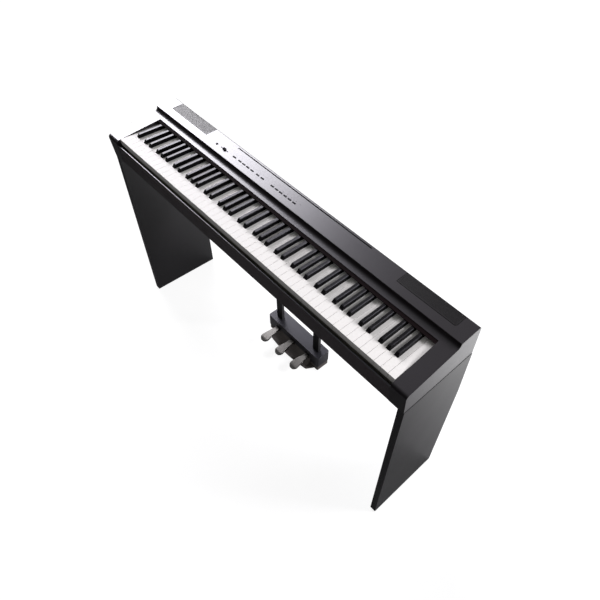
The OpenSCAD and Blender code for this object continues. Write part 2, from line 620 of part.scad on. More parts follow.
// A screw along +Z with its head below the plane
module wood_screw(l) {
  cylinder(d = screw_d, h = l);
  rotate_extrude() polygon([[0, -2.6], [1.8, -2.6], [3.4, -1.6], [4, 0], [0, 0]]);
}
module stand_screws() color([0.6, 0.6, 0.62]) at_floor() {
  both_ends() {
    panel_screw_spots() translate([inner_x - bracket_t, 0, 0]) rotate([0, 90, 0]) wood_screw(16);
    for (y = support_y, d = [-1, 1]) translate([support_x, y + d * bracket_l / 4, seam_z - bracket_t]) wood_screw(14);
    for (d = [-1, 1]) translate([inner_x - bracket_leg * 0.55, board_y - board_t - bracket_t, board_bracket_z + d * board_bracket_l / 4])
      rotate([-90, 0, 0]) wood_screw(14);
  }
  post_screw_spots() translate([0, board_y + post_d, 0]) rotate([90, 0, 0]) wood_screw(post_d + 10);
}
module floor_glides() color([0.08, 0.08, 0.08]) at_floor() both_ends() for (y = [14, panel_back - 22])
  translate([stand_x - panel_t / 2, y, 0]) rotate_extrude()
    polygon([[0, 0], [glide_d / 2 - 1, 0], [glide_d / 2, 1], [glide_d / 2, glide_h], [0, glide_h]]);

// ---- Pedal unit
box_y = box_rear - box_d;
axle_y = box_y + box_d / 2 + 1.5;
pedal_tip_y = box_y - pedal_reach;
foot_y = box_y - foot_out;
rib_x = [-box_l / 2 + 6, -pedal_step / 2, pedal_step / 2, box_l / 2 - 6];
slot_w = pedal_root_w + 6;
slot_z0 = axle_z - 15;
slot_z1 = axle_z + 10;
base_plate_t = 3;
box_r = 7;
module box_plan(gap) {
  offset(r = box_r - gap, $fn = 32) offset(delta = -box_r) translate([pedal_x - box_l / 2, box_y])
    square([box_l, box_d]);
}
module pedal_slots(y0, y1) {
  for (i = [-1 : 1]) block(pedal_x + i * pedal_step - slot_w / 2, pedal_x + i * pedal_step + slot_w / 2,
    y0, y1, slot_z0, slot_z1);
}
module pedal_box() color([0.16, 0.16, 0.18]) at_floor() difference() {
  union() {
    difference() {
      translate([0, 0, box_z]) linear_extrude(box_h - box_z) box_plan(0);
      translate([0, 0, box_z - 1]) linear_extrude(box_h - box_z + 1 - wall) box_plan(wall);
    }
    for (x = rib_x) block(pedal_x + x - 2, pedal_x + x + 2, box_y + 1, box_y + box_d - 1, axle_z - 10, box_h - 1);
  }
  pedal_slots(box_y - 1, box_y + wall + 1);
  rod_x(pedal_x - box_l / 2 + 3.5, pedal_x + box_l / 2 - 3.5, axle_y, axle_z, axle_d + 0.1);
}
foot_half = box_l / 2 - 38;
module foot_plan() {
  polygon(concat([[pedal_x - box_l / 2 + 14, box_y + 12]],
    [for (i = [-6 : 6]) [pedal_x + i * foot_half / 6, foot_y + 10 * pow(i / 6, 2)]],
    [[pedal_x + box_l / 2 - 14, box_y + 12]]));
}
module pedal_base() color([0.2, 0.19, 0.2]) at_floor() difference() {
  union() {
    linear_extrude(foot_t) offset(r = 8, $fn = 32) offset(delta = -8) foot_plan();
    linear_extrude(box_z) box_plan(2);
    translate([0, 0, box_z - base_plate_t]) linear_extrude(base_plate_t) box_plan(1);
    // apron that sweeps up from the foot to the box
    along_x(pedal_x - foot_half + 6, pedal_x + foot_half - 6) polygon(concat([[box_y, foot_t - 1]],
      [for (i = [0 : 10]) [foot_y + 12 + (foot_out - 12) * sin(9 * i), foot_t + (apron_h - foot_t) * (1 - cos(9 * i))]]));
  }
  translate([0, 0, -1]) linear_extrude(box_z - base_plate_t + 1) box_plan(6);
  pedal_slots(foot_y, box_y + 1);
}
module pedal_posts() color([0.07, 0.07, 0.08]) at_floor() difference() {
  for (s = [-1, 1]) translate([pedal_x + s * post_mid, board_y + post_d / 2, box_h])
    linear_extrude(post_top_z - box_h) offset(r = 2, $fn = 16) square([post_w - 4, post_d - 4], center = true);
  post_screw_spots() translate([0, board_y - 1, 0]) into_board(post_d + 2, screw_d + 0.4);
}
// Bar on the axle that widens into a rounded paddle outside the box
module pedal_plan() {
  hull() {
    translate([0, pedal_tip_y + pedal_tip_w / 2]) circle(d = pedal_tip_w);
    translate([-pedal_root_w / 2, box_y - 10]) square([pedal_root_w, 1]);
  }
  translate([-pedal_root_w / 2, box_y - 10]) square([pedal_root_w, axle_y + 9 - box_y + 10]);
}
module pedal_side() {
  polygon(concat(
    [[pedal_tip_y + 1.5, axle_z - 10], [pedal_tip_y, axle_z - 8], [pedal_tip_y + 1, axle_z - 5],
     [pedal_tip_y + 5, axle_z - 2], [pedal_tip_y + 12, axle_z], [pedal_tip_y + 30, axle_z + 1.5],
     [box_y, axle_z + pedal_t / 2 + 0.5], [axle_y, axle_z + axle_d / 2 + 3]],
    arc(axle_y, axle_z, axle_d / 2 + 3, 60, -90, 8),
    [[box_y, axle_z - pedal_t / 2 + 0.5], [pedal_tip_y + 34, axle_z - 7], [pedal_tip_y + 10, axle_z - 9.5]]));
}
module pedal(x) {
  translate([pedal_x + x, 0, 0]) difference() {
    intersection() {
      along_x(-pedal_tip_w, pedal_tip_w) pedal_side();
      linear_extrude(100) pedal_plan();
    }
    rod_x(-pedal_tip_w, pedal_tip_w, axle_y, axle_z, axle_d + 0.2);
  }
}
module pedal_left() color([0.6, 0.58, 0.54]) at_floor() pedal(-pedal_step);
module pedal_center() color([0.6, 0.58, 0.54]) at_floor() pedal(0);
module pedal_right() color([0.6, 0.58, 0.54]) at_floor() pedal(pedal_step);
module pedal_axle() color([0.7, 0.7, 0.72]) at_floor()
  rod_x(pedal_x - box_l / 2 + 3.8, pedal_x + box_l / 2 - 3.8, axle_y, axle_z, axle_d);
// Torsion springs: closed coils on the axle, each with a leg against the back wall of the box
coil_wire = 2;
coil_turns = 8;
module pedal_springs() color([0.75, 0.75, 0.77]) at_floor() for (i = [-1 : 1])
  translate([pedal_x + i * pedal_step + pedal_root_w / 2 + 1, axle_y, axle_z]) {
    rotate([0, 90, 0]) rotate_extrude() for (t = [0 : coil_turns - 1])
      translate([axle_d / 2 + 0.3 + coil_wire / 2, (t + 0.5) * coil_wire * 0.96]) circle(d = coil_wire, $fn = 16);
    translate([coil_wire * 0.6, 0, axle_d / 2 + 0.3 + coil_wire / 2]) rotate([-90, 0, 0])
      cylinder(d = coil_wire, h = box_y + box_d - wall - axle_y - 0.3, $fn = 16);
  }

upper_case();
lower_case();
keyslip();
key_felt();
key_frame();
fulcrum_rod();
contact_board();
contact_strip();
main_board();
panel_board();
panel_lamps();
grille_left();
grille_right();
speakers();
sockets();
case_screws();
power_button();
volume_knob();
play_buttons();
tempo_buttons();
voice_buttons();
middle_key(0);  // key_c4
middle_key(1);  // key_cs4
middle_key(2);  // key_d4
middle_key(3);  // key_ds4
middle_key(4);  // key_e4
middle_key(5);  // key_f4
middle_key(6);  // key_fs4
middle_key(7);  // key_g4
middle_key(8);  // key_gs4
middle_key(9);  // key_a4
middle_key(10);  // key_as4
middle_key(11);  // key_b4
key_family(0);  // keys_c
key_family(1);  // keys_cs
key_family(2);  // keys_d
key_family(3);  // keys_ds
key_family(4);  // keys_e
key_family(5);  // keys_f
key_family(6);  // keys_fs
key_family(7);  // keys_g
key_family(8);  // keys_gs
key_family(9);  // keys_a
key_family(10);  // keys_as
key_family(11);  // keys_b
side_panel_left();
side_panel_right();
rear_board();
brackets();
stand_screws();
floor_glides();
pedal_box();
pedal_base();
pedal_posts();
pedal_left();
pedal_center();
pedal_right();
pedal_axle();
pedal_springs();
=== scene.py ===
import json
import math
import bmesh
import bpy
from mathutils import Matrix, Vector


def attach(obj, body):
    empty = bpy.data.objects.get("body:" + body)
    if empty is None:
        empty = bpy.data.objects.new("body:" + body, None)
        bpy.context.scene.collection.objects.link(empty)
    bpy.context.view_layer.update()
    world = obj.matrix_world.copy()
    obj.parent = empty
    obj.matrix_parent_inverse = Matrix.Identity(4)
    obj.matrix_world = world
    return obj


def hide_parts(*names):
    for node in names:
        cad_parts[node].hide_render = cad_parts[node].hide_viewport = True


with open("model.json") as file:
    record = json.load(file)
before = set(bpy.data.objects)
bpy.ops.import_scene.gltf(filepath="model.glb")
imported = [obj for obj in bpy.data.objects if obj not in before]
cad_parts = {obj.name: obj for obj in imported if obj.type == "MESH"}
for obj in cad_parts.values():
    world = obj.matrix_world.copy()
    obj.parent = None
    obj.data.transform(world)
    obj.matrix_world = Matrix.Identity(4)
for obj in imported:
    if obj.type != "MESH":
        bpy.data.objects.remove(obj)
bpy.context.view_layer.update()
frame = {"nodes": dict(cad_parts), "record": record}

# Digital piano on its stand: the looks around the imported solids.
# Lengths are metres in the camera and the studio, millimetres in the dictionaries of pieces and finishes.
record = frame["record"]
bodyOfNode = {node: body for body, nodes in record["behaviour"]["bodies"].items() for node in nodes}
slotOfNode = {part["node"]: part["material_slot"] for part in record["subparts"]}
mm = 0.001
print("stage: frame loaded,", len(frame["nodes"]), "nodes")


# the corners of a node's box, at rest
def boxOf(nodeName):
    shape = frame["nodes"][nodeName]
    spots = [shape.matrix_world @ vertex.co for vertex in shape.data.vertices]
    return [Vector([pick(spot[axis] for spot in spots) for axis in range(3)]) for pick in (min, max)]


# ---- Camera, placed from the top front edge of the white keys
keyLow, keyHigh = boxOf("key_c4")
cameraSetup = {
    "place": (0.9707, keyLow.y - 0.6001, keyHigh.z + 1.0674),
    "tilt": (38.93, -3.62, 46.08),
    "lens": 32.79,
    "sensor": 36.0,
    "shift": (-0.0757, 0.0233),
}
cameraData = bpy.data.cameras.new("viewCamera")
cameraData.lens = cameraSetup["lens"]
cameraData.sensor_width = cameraSetup["sensor"]
cameraData.shift_x, cameraData.shift_y = cameraSetup["shift"]
viewCamera = bpy.data.objects.new("viewCamera", cameraData)
viewCamera.location = cameraSetup["place"]
viewCamera.rotation_euler = [math.radians(angle) for angle in cameraSetup["tilt"]]
bpy.context.scene.collection.objects.link(viewCamera)
bpy.context.scene.camera = viewCamera
print("stage: camera placed")


# ---- Material tools
def linear(hexCode):
    channels = [int(hexCode[i:i + 2], 16) / 255 for i in (1, 3, 5)]
    return tuple(c / 12.92 if c <= 0.04045 else ((c + 0.055) / 1.055) ** 2.4 for c in channels) + (1.0,)


# adds a node, sets its properties, and sets or links its inputs
def addNode(tree, kind, properties=None, inputs=None):
    node = tree.nodes.new(kind)
    for name, value in (properties or {}).items():
        setattr(node, name, value)
    for name, value in (inputs or {}).items():
        if isinstance(value, bpy.types.NodeSocket):
            tree.links.new(value, node.inputs[name])
        else:
            node.inputs[name].default_value = value
    return node


def startMaterial(name):
    material = bpy.data.materials.new(name)
    material.use_nodes = True
    tree = material.node_tree
    tree.nodes.clear()
    place = addNode(tree, "ShaderNodeTexCoord").outputs["Object"]
    return material, tree, place


def closeMaterial(tree, shader):
    addNode(tree, "ShaderNodeOutputMaterial", None, {"Surface": shader.outputs[0]})


# two colours mixed by a pattern
def blendColours(tree, pattern, low, high, start=0.3, end=0.7):
    ramp = addNode(tree, "ShaderNodeValToRGB", None, {"Fac": pattern})
    ramp.color_ramp.elements[0].position = start
    ramp.color_ramp.elements[0].color = linear(low)
    ramp.color_ramp.elements[1].position = end
    ramp.color_ramp.elements[1].color = linear(high)
    return ramp.outputs["Color"]


# a pattern moved to lie between two values
def spread(tree, pattern, low, high):
    return addNode(tree, "ShaderNodeMapRange", None,
        {"Value": pattern, "To Min": low, "To Max": high}).outputs["Result"]


# ---- Moulded plastics
# grain is the size of the mould's texture and depth its strength; coat is the clear lacquer
mouldings = {
    # ABS, injection moulded against a satin tool, clear lacquer over it: near black, a broad cool sheen
    "lacqueredSatinAbs": {"low": "#161314", "high": "#1e191a", "rough": (0.38, 0.44), "grain": 0.9,
        "depth": 0.04, "ior": 1.54, "coat": 0.9, "dull": "front"},
    # ABS against a spark-eroded tool: sandy, dull, slightly warm black
    "sandTexturedAbs": {"low": "#2f282a", "high": "#423a3c", "rough": (0.52, 0.64), "grain": 1.5,
        "depth": 0.35, "ior": 1.35},
    # the strip along the front: ABS against a polished tool
    "glossStripAbs": {"low": "#171518", "high": "#1d1b1f", "rough": (0.3, 0.36), "grain": 0.8,
        "depth": 0.03, "ior": 1.54, "coat": 1.0},
    # acrylic-faced white key, polished tool, dulled by play: bright, with a broad soft sheen
    "polishedWhiteAcrylic": {"low": "#e9e7e3", "high": "#efedea", "rough": (0.3, 0.38), "grain": 6.0,
        "depth": 0.01, "ior": 1.2},
    # phenolic black key with a rubbed satin face
    "satinBlackPhenolic": {"low": "#070607", "high": "#0d0c0d", "rough": (0.3, 0.36), "grain": 0.8,
        "depth": 0.05, "ior": 1.34, "coat": 0.12, "dull": "sides"},
    # small caps and the knob: fine matt ABS
    "mattButtonAbs": {"low": "#0f0f11", "high": "#151517", "rough": (0.7, 0.8), "grain": 0.6, "depth": 0.08,
        "ior": 1.35},
    # pedal housing: satin ABS with a cool tint
    "coolSatinAbs": {"low": "#1b1b20", "high": "#232329", "rough": (0.36, 0.44), "grain": 1.0,
        "depth": 0.06, "ior": 1.5, "coat": 0.35},
    # foot of the pedal unit: matt ABS, its colour raised to a light warm grey as painted light, making up
    # for the shade of the housing above it
    "paintedLightFootAbs": {"low": "#5f5a56", "high": "#76706c", "rough": (0.6, 0.75), "grain": 2.2,
        "depth": 0.1, "ior": 1.4},
    # key bed: natural ABS as it comes out of the tool
    "naturalAbs": {"low": "#c4c1b6", "high": "#d0cdc3", "rough": (0.45, 0.55), "grain": 1.4, "depth": 0.1,
        "ior": 1.50},
    # socket bodies: glass-filled nylon
    "mouldedNylon": {"low": "#161616", "high": "#1f1f1f", "rough": (0.4, 0.5), "grain": 0.7, "depth": 0.1,
        "ior": 1.53},
    # lamp windows: smoked acrylic over an unlit lamp
    "smokedAcrylic": {"low": "#2a1f1e", "high": "#33282a", "rough": (0.2, 0.3), "grain": 0.5, "depth": 0.05,
        "ior": 1.49},
    # floor glides and contact strip: moulded rubber
    "mouldedRubber": {"low": "#191919", "high": "#222222", "rough": (0.7, 0.85), "grain": 0.9,
        "depth": 0.25, "ior": 1.52},
}


# where a face turns from etched to polished, by the axis it looks along:
# "front" is etched on faces towards the player, "sides" on all but the top
polishedFrom = {"front": ("Y", -0.85, -0.35), "sides": ("Z", 0.45, 0.9)}
sheenLevels = {"etched": 0.16, "plain": 0.5}
lacquer = {"rough": 0.26, "ior": 1.5, "tint": "#f1f0ff"}
waves = 9.0  # per metre, the slight unevenness of a long moulding

# relief of a surface: strength, and depth in millimetres
relief = {"rubbed": (0.03, 0.1), "peel": (0.12, 0.2), "pores": (0.08, 0.1), "tufts": (0.7, 0.4)}


def mouldedPlastic(name, low, high, rough, grain, depth, ior, coat=0.0, dull=None):
    material, tree, place = startMaterial(name)
    fine = addNode(tree, "ShaderNodeTexNoise", None,
        {"Vector": place, "Scale": 1 / (grain * mm), "Detail": 3.0, "Roughness": 0.6}).outputs[0]
    broad = addNode(tree, "ShaderNodeTexNoise", None,
        {"Vector": place, "Scale": waves, "Detail": 2.0}).outputs[0]
    bump = addNode(tree, "ShaderNodeBump", None,
        {"Height": fine, "Strength": depth, "Distance": grain * mm / 3})
    coatLevel, sheenLevel = coat, sheenLevels["plain"]
    if dull:
        axis, start, end = polishedFrom[dull]
        facing = addNode(tree, "ShaderNodeSeparateXYZ", None,
            {0: addNode(tree, "ShaderNodeNewGeometry").outputs["Normal"]}).outputs[axis]
        polish = addNode(tree, "ShaderNodeMapRange", {"interpolation_type": "SMOOTHSTEP"},
            {"Value": facing, "From Min": start, "From Max": end}).outputs[0]
        coatLevel = spread(tree, polish, 0.0, coat)
        sheenLevel = spread(tree, polish, sheenLevels["etched"], sheenLevels["plain"])
    shader = addNode(tree, "ShaderNodeBsdfPrincipled", None, {
        "Base Color": blendColours(tree, fine, low, high), "Roughness": spread(tree, broad, *rough),
        "Normal": bump.outputs["Normal"], "IOR": ior, "Specular IOR Level": sheenLevel,
        "Coat Weight": coatLevel, "Coat Roughness": lacquer["rough"], "Coat IOR": lacquer["ior"],
        "Specular Tint": linear(lacquer["tint"])})
    closeMaterial(tree, shader)
    return material


plastics = {name: mouldedPlastic(name, **facts) for name, facts in mouldings.items()}


# ---- Metals
platings = {
    # pedals: cast zinc, polished and satin nickel plated, rubbed along its length by shoes
    "satinNickelPlate": {"low": "#858380", "high": "#93918e", "rough": (0.26, 0.36), "pitch": 1.2,
        "along": (1.0, 0.05, 1.0)},
    # rod, axle, springs and screws: drawn and zinc plated steel
    "zincPlatedSteel": {"low": "#a6a7ab", "high": "#c0c1c4", "rough": (0.26, 0.4), "pitch": 0.5,
        "along": (0.05, 1.0, 1.0)},
}


def platedMetal(name, low, high, rough, pitch, along):
    material, tree, place = startMaterial(name)
    stretched = addNode(tree, "ShaderNodeMapping", None, {"Vector": place, "Scale": along}).outputs[0]
    lines = addNode(tree, "ShaderNodeTexNoise", None,
        {"Vector": stretched, "Scale": 1 / (pitch * mm), "Detail": 2.0}).outputs[0]
    strength, deep = relief["rubbed"]
    bump = addNode(tree, "ShaderNodeBump", None,
        {"Height": lines, "Strength": strength, "Distance": deep * mm})
    shader = addNode(tree, "ShaderNodeBsdfPrincipled", None, {
        "Base Color": blendColours(tree, lines, low, high), "Metallic": 1.0,
        "Roughness": spread(tree, lines, *rough), "Normal": bump.outputs["Normal"]})
    closeMaterial(tree, shader)
    return material


metals = {name: platedMetal(name, **facts) for name, facts in platings.items()}


# steel with a dark stoved paint: slight orange peel, its size in millimetres
paints = {
    "stovedSteelSheet": {"low": "#141214", "high": "#1b191b", "peel": 1.6, "rough": (0.4, 0.46)},
    "paintedSpeakerFrame": {"low": "#1c1c1e", "high": "#262628", "peel": 1.6, "rough": (0.4, 0.5)},
    "paintedBracketSteel": {"low": "#1e1e20", "high": "#28282a", "peel": 1.6, "rough": (0.4, 0.5)},
}


def stovedPaint(name, low, high, peel, rough):
    material, tree, place = startMaterial(name)
    skin = addNode(tree, "ShaderNodeTexNoise", None,
        {"Vector": place, "Scale": 1 / (peel * mm), "Detail": 1.0}).outputs[0]
    strength, deep = relief["peel"]
    bump = addNode(tree, "ShaderNodeBump", None,
        {"Height": skin, "Strength": strength, "Distance": deep * mm})
    shader = addNode(tree, "ShaderNodeBsdfPrincipled", None, {
        "Base Color": blendColours(tree, skin, low, high), "Roughness": spread(tree, skin, *rough),
        "Normal": bump.outputs["Normal"], "IOR": 1.5})
    closeMaterial(tree, shader)
    return material


paintedSteels = {name: stovedPaint(name, **facts) for name, facts in paints.items()}


# ---- Foil on particle board: printed fine straight pores under a satin lacquer
foilFacts = {
    "low": "#19181a", "high": "#222123", "poreWidth": 0.5, "poreLength": 18.0, "rough": (0.3, 0.38),
    "edgeTo": (-0.9, -0.4),    # faces towards the player: edge band up to the first, then foil
    "sheen": (0.1, 0.9),       # of the edge band and of the foil
    "cloud": 6.0,              # per metre, slow change of the lacquer
}


def foiledBoard(name, low, high, poreWidth, poreLength, rough, edgeTo, sheen, cloud):
    material, tree, place = startMaterial(name)
    stretched = addNode(tree, "ShaderNodeMapping", None,
        {"Vector": place, "Scale": (1.0, 1.0, poreWidth / poreLength)}).outputs[0]
    pores = addNode(tree, "ShaderNodeTexNoise", None,
        {"Vector": stretched, "Scale": 1 / (poreWidth * mm), "Detail": 2.0}).outputs[0]
    clouding = addNode(tree, "ShaderNodeTexNoise", None,
        {"Vector": place, "Scale": cloud, "Detail": 2.0}).outputs[0]
    strength, deep = relief["pores"]
    bump = addNode(tree, "ShaderNodeBump", None,
        {"Height": pores, "Strength": strength, "Distance": deep * mm})
    facing = addNode(tree, "ShaderNodeSeparateXYZ", None,
        {0: addNode(tree, "ShaderNodeNewGeometry").outputs["Normal"]}).outputs["Y"]
    faceNotEdge = addNode(tree, "ShaderNodeMapRange", None,
        {"Value": facing, "From Min": edgeTo[0], "From Max": edgeTo[1]}).outputs[0]
    shader = addNode(tree, "ShaderNodeBsdfPrincipled", None, {
        "Base Color": blendColours(tree, pores, low, high, 0.35, 0.65),
        "Roughness": spread(tree, clouding, *rough),
        "Specular IOR Level": spread(tree, faceNotEdge, *sheen), "Normal": bump.outputs["Normal"],
        "IOR": 1.5})
    closeMaterial(tree, shader)
    return material


# ---- Pressed wool felt: soft fibres with a sheen; its deep maroon is darkened almost to black as painted shade, the shade under the case's lip
feltFacts = {"low": "#060102", "high": "#0f0205", "fibre": 0.9, "rough": 0.95, "gloss": 0.1, "sheen": 0.02}


def pressedFelt(name, low, high, fibre, rough, gloss, sheen):
    material, tree, place = startMaterial(name)
    tuft = addNode(tree, "ShaderNodeTexNoise", None,
        {"Vector": place, "Scale": 1 / (fibre * mm), "Detail": 4.0, "Roughness": 0.7}).outputs[0]
    strength, deep = relief["tufts"]
    bump = addNode(tree, "ShaderNodeBump", None,
        {"Height": tuft, "Strength": strength, "Distance": deep * mm})
    shader = addNode(tree, "ShaderNodeBsdfPrincipled", None, {
        "Base Color": blendColours(tree, tuft, low, high), "Roughness": rough, "Specular IOR Level": gloss,
        "Sheen Weight": sheen, "Normal": bump.outputs["Normal"]})
    closeMaterial(tree, shader)
    return material


# ---- Circuit board: green lacquer over copper tracks
boardFacts = {
    "low": "#12452c", "high": "#17563a", "copper": "#3f8a5a",
    "track": 1.2,          # millimetres from one track to the next
    "tracksPerBrick": 8, "gap": 0.06, "rough": 0.3, "ior": 1.55,
}


def lacqueredBoard(name, low, high, copper, track, tracksPerBrick, gap, rough, ior):
    material, tree, place = startMaterial(name)
    tracks = addNode(tree, "ShaderNodeTexBrick", None, {
        "Vector": place, "Scale": 1 / (track * tracksPerBrick * mm), "Mortar Size": gap,
        "Color1": linear(low), "Color2": linear(high), "Mortar": linear(copper)})
    shader = addNode(tree, "ShaderNodeBsdfPrincipled", None, {
        "Base Color": tracks.outputs["Color"], "Roughness": rough, "IOR": ior})
    closeMaterial(tree, shader)
    return material


finishes = {
    "case_black": plastics["lacqueredSatinAbs"],
    "case_textured": plastics["sandTexturedAbs"],
    "keyslip": plastics["glossStripAbs"],
    "felt": pressedFelt("pressedWoolFelt", **feltFacts),
    "frame_plastic": plastics["naturalAbs"],
    "steel": metals["zincPlatedSteel"],
    "circuit_board": lacqueredBoard("lacqueredCircuitBoard", **boardFacts),
    "contact_rubber": plastics["mouldedRubber"],
    "lamp": plastics["smokedAcrylic"],
    "grille": paintedSteels["stovedSteelSheet"],
    "speaker": paintedSteels["paintedSpeakerFrame"],
    "socket": plastics["mouldedNylon"],
    "button": plastics["mattButtonAbs"],
    "white_key": plastics["polishedWhiteAcrylic"],
    "black_key": plastics["satinBlackPhenolic"],
    "panel_board_black": foiledBoard("foiledParticleBoard", **foilFacts),
    "black_steel": paintedSteels["paintedBracketSteel"],
    "glide": plastics["mouldedRubber"],
    "pedal_box": plastics["coolSatinAbs"],
    # the foot's light warm grey is painted light
    "pedal_foot": plastics["paintedLightFootAbs"],
    "pedal_metal": metals["satinNickelPlate"],
}
for nodeName, nodeObject in frame["nodes"].items():
    nodeObject.data.materials.clear()
    nodeObject.data.materials.append(finishes[slotOfNode[nodeName]])
print("stage: finishes on all nodes")


# ---- Edges: a copy of a node with its corners eased stands for it
easing = {
    "segments": 2,
    "sharpOver": 30,       # degrees, from where an edge is eased
    "flatWithin": 0.6,     # degrees, faces that count as one
    "weld": 1e-5,          # metres, points that count as one
}


def easedCopy(nodeName, width):
    mesh = frame["nodes"][nodeName].data.copy()
    work = bmesh.new()
    work.from_mesh(mesh)
    bmesh.ops.remove_doubles(work, verts=work.verts, dist=easing["weld"])
    bmesh.ops.dissolve_limit(work, angle_limit=math.radians(easing["flatWithin"]), verts=work.verts,
        edges=work.edges)
    work.to_mesh(mesh)
    work.free()
    mesh.shade_smooth()
    draft = bpy.data.objects.new(nodeName + "Draft", mesh)
    bpy.context.scene.collection.objects.link(draft)
    ease = draft.modifiers.new("ease", "BEVEL")
    ease.width = width * mm
    ease.segments = easing["segments"]
    ease.limit_method = "ANGLE"
    ease.angle_limit = math.radians(easing["sharpOver"])
    ease.use_clamp_overlap = True
    draft.modifiers.new("flatFacesStayFlat", "WEIGHTED_NORMAL").keep_sharp = True
    bpy.context.view_layer.update()
    ready = bpy.data.meshes.new_from_object(draft.evaluated_get(bpy.context.evaluated_depsgraph_get()))
    bpy.data.objects.remove(draft)
    piece = bpy.data.objects.new(nodeName + "Eased", ready)
    bpy.context.scene.collection.objects.link(piece)
    ready.materials.clear()
    ready.materials.append(finishes[slotOfNode[nodeName]])
    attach(piece, bodyOfNode[nodeName])
    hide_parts(nodeName)
    return piece


# width of the eased edge in millimetres, by the start of the node's name
edgeEase = {
    "key_": 0.5, "keys_": 0.5, "keyslip": 0.5, "lower_case": 0.7, "side_panel_": 0.8,
    "pedal_left": 1.5, "pedal_center": 1.5, "pedal_right": 1.5, "pedal_box": 1.2, "pedal_posts": 0.8,
    "power_button": 0.4, "play_buttons": 0.4, "tempo_buttons": 0.4, "voice_buttons": 0.4,
}
blackKeyEase = 1.5
notEased = ("key_frame", "key_felt")
for nodeName in list(frame["nodes"]):
    widths = [width for start, width in edgeEase.items() if nodeName.startswith(start)]
    if widths and nodeName not in notEased:
        easedCopy(nodeName, blackKeyEase if slotOfNode[nodeName] == "black_key" else widths[0])
print("stage: edges eased")


# ---- Speaker grilles: a stoved steel sheet with round holes in staggered rows, in a pressed rim
grilleFacts = {
    "pitch": 3.0,          # between holes of a row
    "rowPitch": 2.6,
    "hole": 1.7,
    "sheet": 0.9,          # thickness of the perforated sheet
    "sunk": 0.35,          # how far the sheet lies under the rim's face
    "rimWidth": 4.2,
    "rimDepth": 2.0,
    "groove": 1.5,         # between the case and the raised rim
    "grooveDepth": 1.85,
    "cornerRadius": 8.0,   # outer front corner
    "cornerSteps": 8,
    "seam": 0.01,          # between the rim's raised ring and the one under it
    "weld": 0.02,          # points that count as one
    "slope": 1.5,          # of the top, in degrees
}


# one cell of the sheet: twelve faces between the round hole and the cell's edge
def holeCell(facts):
    halfWide, halfDeep = facts["pitch"] * mm / 2, facts["rowPitch"] * mm / 2
    edge = [(1, 0), (1, 1), (0.5, 1), (0, 1), (-0.5, 1), (-1, 1), (-1, 0), (-1, -1), (-0.5, -1), (0, -1),
        (0.5, -1), (1, -1)]
    spots = [(x * halfWide, y * halfDeep, 0) for x, y in edge]
    turns = [math.atan2(y, x) for x, y, z in spots]
    spots += [(facts["hole"] * mm / 2 * math.cos(turn), facts["hole"] * mm / 2 * math.sin(turn), 0)
        for turn in turns]
    mesh = bpy.data.meshes.new("holeCell")
    count = len(edge)
    mesh.from_pydata(spots, [], [(i, (i + 1) % count, count + (i + 1) % count, count + i)
        for i in range(count)])
    return bpy.data.objects.new("holeCell", mesh)


def gridSocket(tree, name, kind, direction="INPUT"):
    return tree.interface.new_socket(name=name, in_out=direction, socket_type=kind)


perforationInputs = {
    "Rim": "NodeSocketGeometry", "Cell": "NodeSocketObject", "Columns": "NodeSocketInt",
    "Rows": "NodeSocketInt", "Pitch": "NodeSocketFloat", "Row Pitch": "NodeSocketFloat",
    "Middle": "NodeSocketVector", "Sheet": "NodeSocketFloat", "Finish": "NodeSocketMaterial",
}


